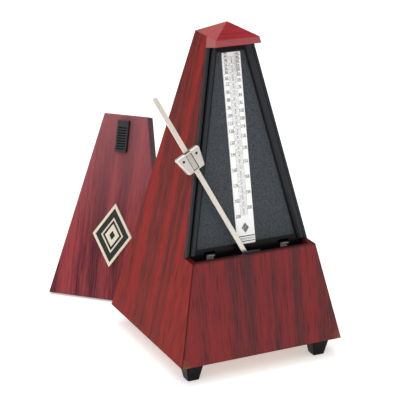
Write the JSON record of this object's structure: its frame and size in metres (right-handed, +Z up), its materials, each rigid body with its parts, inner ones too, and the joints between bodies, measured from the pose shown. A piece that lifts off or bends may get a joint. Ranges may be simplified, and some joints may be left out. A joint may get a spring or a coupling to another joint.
{
  "type": "metronome",
  "caption": "Wooden pyramid metronome with an inverted pendulum, sliding weight, tempo scale, winding key and wheel train, and its lift-off front lid stood beside it.",
  "frame": {"origin": "on the table, under the middle of the case", "axes": "+Z up, -Y towards the player and out of the scale side, +X to the player's right, on the winding key's side"},
  "size_m": [0.1502, 0.2017, 0.2214],
  "materials": {
    "mahogany": "polished mahogany",
    "plywood": "bare wood",
    "feet_black": "black satin",
    "moulding_black": "fine grained black moulding",
    "scale_card": "printed white card, satin",
    "brass": "machined brass",
    "steel": "ground steel",
    "bright_steel": "bright plated steel",
    "spring_steel": "blued spring steel",
    "rod_steel": "nickelled steel",
    "lead_grey": "cast metal",
    "weight_nickel": "nickelled casting",
    "badge_cream": "cream moulding",
    "badge_dark": "dark enamel",
    "latch_black": "black moulding",
    "latch_metal": "plated steel"
  },
  "bodies": {
    "case": {"left_side_panel": "mahogany", "right_side_panel": "mahogany", "back_panel": "mahogany", "front_plinth_panel": "mahogany", "roof_cap": "mahogany", "latch_strike": "bright_steel", "base_board": "plywood", "corner_blocks": "plywood", "rear_block": "plywood", "front_feet": "feet_black", "rear_foot": "feet_black", "base_screws": "steel", "front_insert": "moulding_black", "scale_plate": "scale_card", "rod_rest_catch": "bright_steel", "lid_clips": "bright_steel", "key_bush": "brass", "left_movement_plate": "brass", "right_movement_plate": "brass", "plate_pillars": "brass", "pillar_screws": "steel", "movement_screws": "steel", "front_bridge": "brass", "rear_bridge": "brass", "spindle_bushes": "brass", "potence": "brass", "bridge_rivets": "steel", "mainspring": "spring_steel"},
    "winding": {"winding_arbor": "steel", "great_wheel": "brass", "ratchet_wheel": "steel", "click": "steel", "click_rivet": "steel", "click_spring": "spring_steel", "winding_key": "bright_steel"},
    "second": {"second_arbor": "steel", "second_pinion": "steel", "second_wheel": "brass"},
    "escape": {"escape_arbor": "steel", "escape_pinion": "steel", "escape_wheel": "brass"},
    "pendulum": {"pendulum_arbor": "steel", "rod_hub": "brass", "rod_nut": "steel", "pendulum_rod": "rod_steel", "lower_bob": "lead_grey", "bob_screw": "steel", "pallets": "steel"},
    "weight": {"sliding_weight": "weight_nickel", "weight_spring": "weight_nickel"},
    "lid": {"lid_shell": "mahogany", "lid_tongues": "bright_steel", "badge_frame": "badge_cream", "badge_plate": "badge_dark", "badge_emblem": "badge_cream", "latch_guide": "latch_metal"},
    "latch": {"latch_slide": "latch_black", "latch_bolt": "latch_metal"}
  },
  "joints": [
    {"name": "pendulum_swing", "type": "hinge", "parent": "case", "child": "pendulum", "pos_m": [0, -0.03933, 0.06924], "axis": [0, -0.9777, 0.2102], "range_deg": [-56.7, 3]},
    {"name": "weight_slide", "type": "slide", "parent": "pendulum", "child": "weight", "axis": [-0.4513, 0.1876, 0.8724], "range_m": [-0.05, 0.038]},
    {"name": "winding_turn", "type": "hinge", "parent": "case", "child": "winding", "pos_m": [0, 0.015, 0.0414], "axis": [1, 0, 0], "continuous": true},
    {"name": "second_turn", "type": "hinge", "parent": "case", "child": "second", "pos_m": [0, -0.00072, 0.05017], "axis": [1, 0, 0], "continuous": true},
    {"name": "escape_turn", "type": "hinge", "parent": "case", "child": "escape", "pos_m": [0, -0.00414, 0.06167], "axis": [1, 0, 0], "continuous": true},
    {"name": "lid_lift", "type": "slide", "parent": "case", "child": "lid", "axis": [0, 0, 1], "range_m": [0, 0.24]},
    {"name": "latch_slide_up", "type": "slide", "parent": "lid", "child": "latch", "axis": [0.228, 0.237, 0.9444], "range_m": [0, 0.0035]}
  ],
  "couplings": [
    {"joint": "second_turn", "follows": "winding_turn", "ratio": -5},
    {"joint": "escape_turn", "follows": "winding_turn", "ratio": 20}
  ]
}
